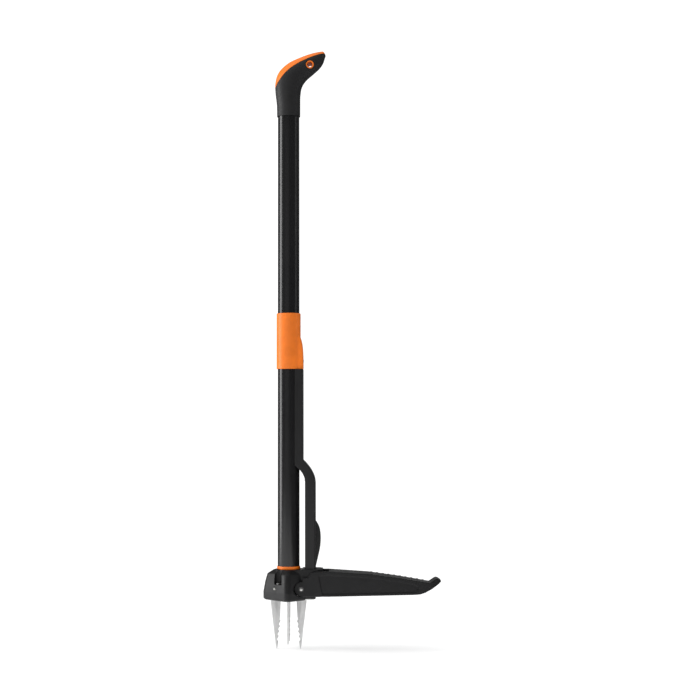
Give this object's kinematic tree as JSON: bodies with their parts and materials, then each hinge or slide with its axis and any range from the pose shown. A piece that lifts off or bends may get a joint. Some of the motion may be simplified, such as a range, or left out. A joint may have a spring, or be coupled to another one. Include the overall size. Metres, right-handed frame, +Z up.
{
  "type": "stand up weeder",
  "caption": "Long-handled stand up weeder: upright shaft with angled grip, serrated claws closed by a foot pedal, and a sliding sleeve with a bar that ejects the weed.",
  "frame": {"origin": "on the shaft's axis, on the flat underside of the ejector plate, level with the underside of the head", "axes": "+Z up the shaft towards the handle; +X towards the pedal's toe; +Y completes the right-handed frame, along the pedal's axle"},
  "size_m": [0.2912, 0.0834, 0.9929],
  "materials": {
    "tube_black": "satin black coated aluminium tube",
    "grip_black": "fine-textured black moulded plastic",
    "head_black": "matt black glass-filled plastic",
    "bar_black": "matt dark grey glass-filled plastic",
    "pedal_black": "matt black glass-filled plastic",
    "orange_trim": "satin orange plastic",
    "claw_steel": "brushed stainless steel, cut edges",
    "zinc_steel": "zinc-plated steel",
    "spring_steel": "oiled spring steel",
    "nylon": "dark nylon"
  },
  "bodies": {
    "frame": {"shaft_tube": "tube_black", "shaft_plug": "nylon", "handle_grip": "grip_black", "handle_cap": "orange_trim", "hang_grommet": "orange_trim", "handle_rivet": "zinc_steel", "base_ring": "orange_trim", "head_housing": "head_black", "head_base_plate": "zinc_steel", "head_screw_front": "spring_steel", "head_screw_rear": "spring_steel", "centre_bolt": "zinc_steel", "return_spring": "spring_steel", "west_pin": "zinc_steel", "north_pin": "zinc_steel", "south_pin": "zinc_steel", "pedal_axle": "zinc_steel", "axle_clip": "spring_steel", "axle_washer_front": "nylon", "axle_washer_rear": "nylon", "west_spacer_front": "nylon", "west_spacer_rear": "nylon", "east_spacer_front": "nylon", "east_spacer_rear": "nylon"},
    "ejector": {"ejector_sleeve": "orange_trim", "sleeve_screw": "zinc_steel", "ejector_bar": "bar_black", "bar_fin": "bar_black", "fin_rivet_upper": "zinc_steel", "fin_rivet_lower": "zinc_steel", "ejector_plate": "zinc_steel", "plate_rivet_front": "zinc_steel", "plate_rivet_rear": "zinc_steel"},
    "pedal_arm": {"pedal": "pedal_black", "pedal_lever_front": "zinc_steel", "pedal_lever_rear": "zinc_steel"},
    "driver": {"claw_driver": "nylon"},
    "west_claw": {"claw_west": "claw_steel"},
    "east_claw": {"claw_east": "claw_steel"},
    "north_claw": {"claw_north": "claw_steel"},
    "south_claw": {"claw_south": "claw_steel"}
  },
  "joints": [
    {"name": "ejector_slide", "type": "slide", "parent": "frame", "child": "ejector", "axis": [0, 0, 1], "range_m": [-0.06, 0]},
    {"name": "pedal_hinge", "type": "hinge", "parent": "frame", "child": "pedal_arm", "pos_m": [0.0217, 0, 0.019], "axis": [0, -1, 0], "range_deg": [0, 12]},
    {"name": "driver_slide", "type": "slide", "parent": "frame", "child": "driver", "axis": [0, 0, -1], "range_m": [0, 0.00335], "deforming": ["return_spring"]},
    {"name": "east_claw_hinge", "type": "hinge", "parent": "frame", "child": "east_claw", "pos_m": [0.0217, 0, 0.019], "axis": [0, 1, 0], "range_deg": [0, 7.6]},
    {"name": "west_claw_hinge", "type": "hinge", "parent": "frame", "child": "west_claw", "pos_m": [-0.0217, 0, 0.019], "axis": [0, -1, 0], "range_deg": [0, 7.6]},
    {"name": "north_claw_hinge", "type": "hinge", "parent": "frame", "child": "north_claw", "pos_m": [0, 0.0217, 0.019], "axis": [-1, 0, 0], "range_deg": [0, 7.6]},
    {"name": "south_claw_hinge", "type": "hinge", "parent": "frame", "child": "south_claw", "pos_m": [0, -0.0217, 0.019], "axis": [1, 0, 0], "range_deg": [0, 7.6]}
  ],
  "couplings": [
    {"joint": "driver_slide", "follows": "pedal_hinge", "m_per_rad": 0.015756},
    {"joint": "east_claw_hinge", "follows": "pedal_hinge", "ratio": 0.625},
    {"joint": "west_claw_hinge", "follows": "pedal_hinge", "ratio": 0.625},
    {"joint": "north_claw_hinge", "follows": "pedal_hinge", "ratio": 0.625},
    {"joint": "south_claw_hinge", "follows": "pedal_hinge", "ratio": 0.625}
  ]
}
